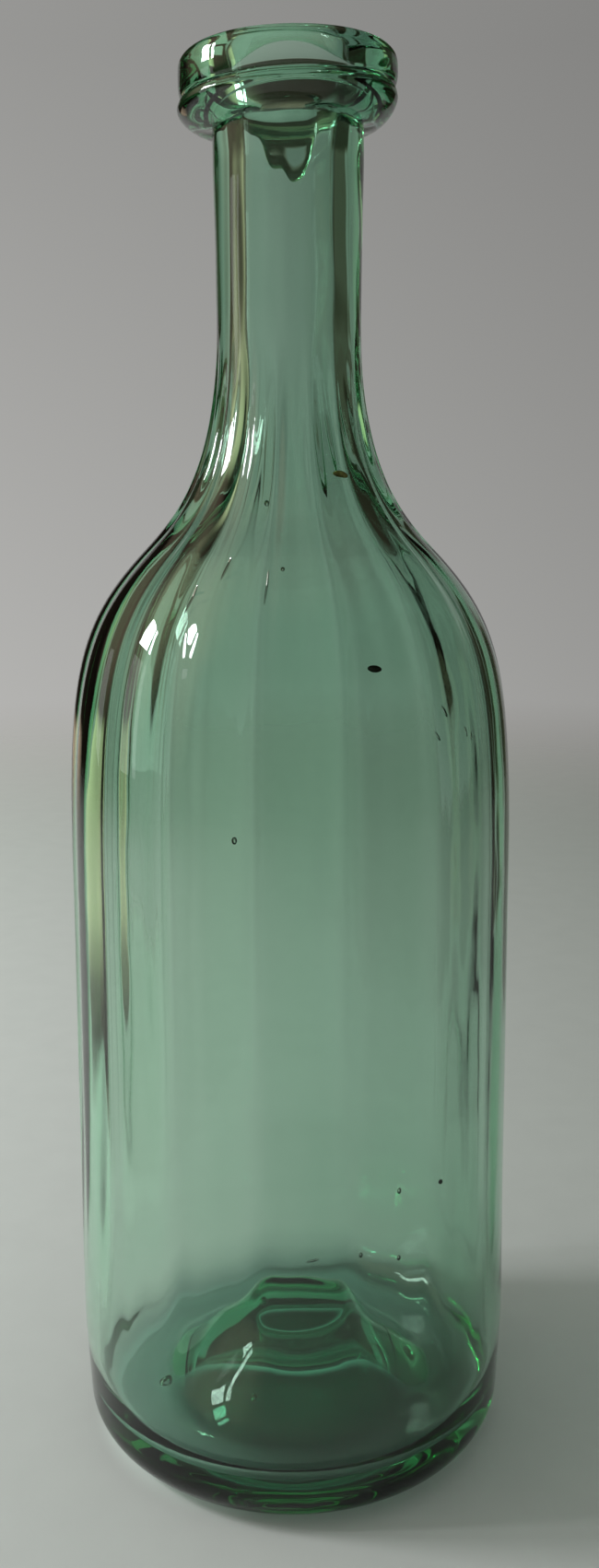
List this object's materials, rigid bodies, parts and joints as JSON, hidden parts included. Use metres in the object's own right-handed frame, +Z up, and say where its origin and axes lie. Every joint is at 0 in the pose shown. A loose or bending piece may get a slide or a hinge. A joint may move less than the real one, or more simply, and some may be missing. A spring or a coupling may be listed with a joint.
{
  "type": "ribbed bar bottle",
  "caption": "Free-standing blown green glass bar bottle with broad upright ribs, rounded shoulders, a pushed-up base and a laid-on string ring and lip.",
  "frame": {"origin": "centre of the standing ring, on the surface that the bottle stands on", "axes": "+Z up the bottle's axis, -Y towards the side that the picture shows, +X to that side's right"},
  "size_m": [0.0864, 0.0864, 0.2634],
  "materials": {
    "body_glass": "clear green blown glass, softly wavy, with seeds and cords",
    "heel_glass": "the same glass, darker where it is thick",
    "collar_glass": "laid-on glass of the same green, tooled by hand"
  },
  "bodies": {
    "root": {"base": "heel_glass", "body_wall": "body_glass", "shoulder": "body_glass", "neck": "body_glass", "string_ring": "collar_glass", "lip_band": "collar_glass"}
  },
  "joints": []
}
